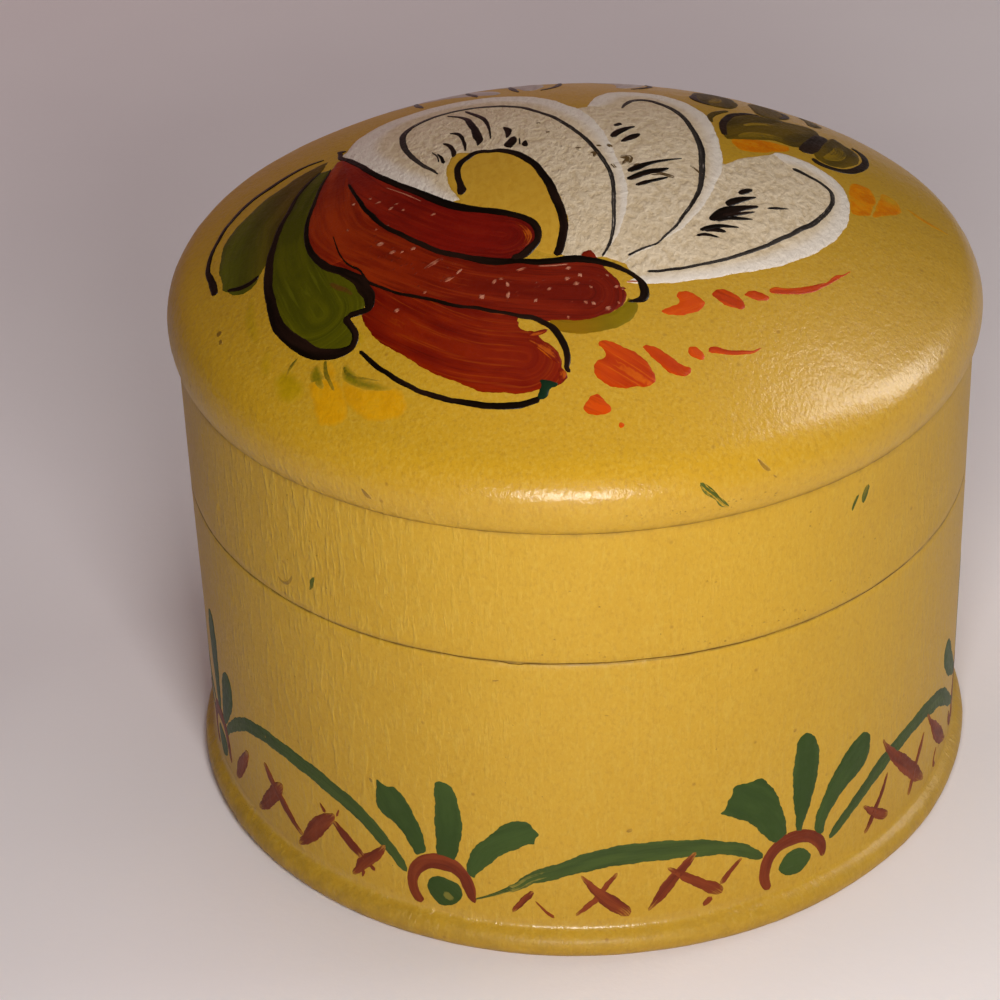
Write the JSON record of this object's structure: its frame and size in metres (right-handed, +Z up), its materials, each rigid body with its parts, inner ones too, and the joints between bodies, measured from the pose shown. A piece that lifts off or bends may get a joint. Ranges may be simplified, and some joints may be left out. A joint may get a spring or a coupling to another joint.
{
  "type": "turned lidded trinket box",
  "caption": "Small round turned wooden box with a deep domed lid that drops over a spigot ring, painted ochre with a traditional scroll, petal and swag ornament.",
  "frame": {"origin": "on the box's axis, at the surface it stands on", "axes": "+Z up along the turning axis; the outside and inside are turned round +Z; -Y is the side seen first, between two sprigs of the painted border"},
  "size_m": [0.0856, 0.0856, 0.0704],
  "materials": {
    "painted_body_wood": "satin ochre oil paint over raised side grain, bare turned wood inside",
    "painted_lid_wood": "glossier ochre oil paint with brushed ornament on top, bare turned wood inside"
  },
  "bodies": {
    "box_body": {"box_body": "painted_body_wood"},
    "lid": {"lid": "painted_lid_wood"}
  },
  "joints": [
    {"name": "lid_lift", "type": "slide", "parent": "box_body", "child": "lid", "axis": [0, 0, 1], "range_m": [0, 0.07]}
  ]
}
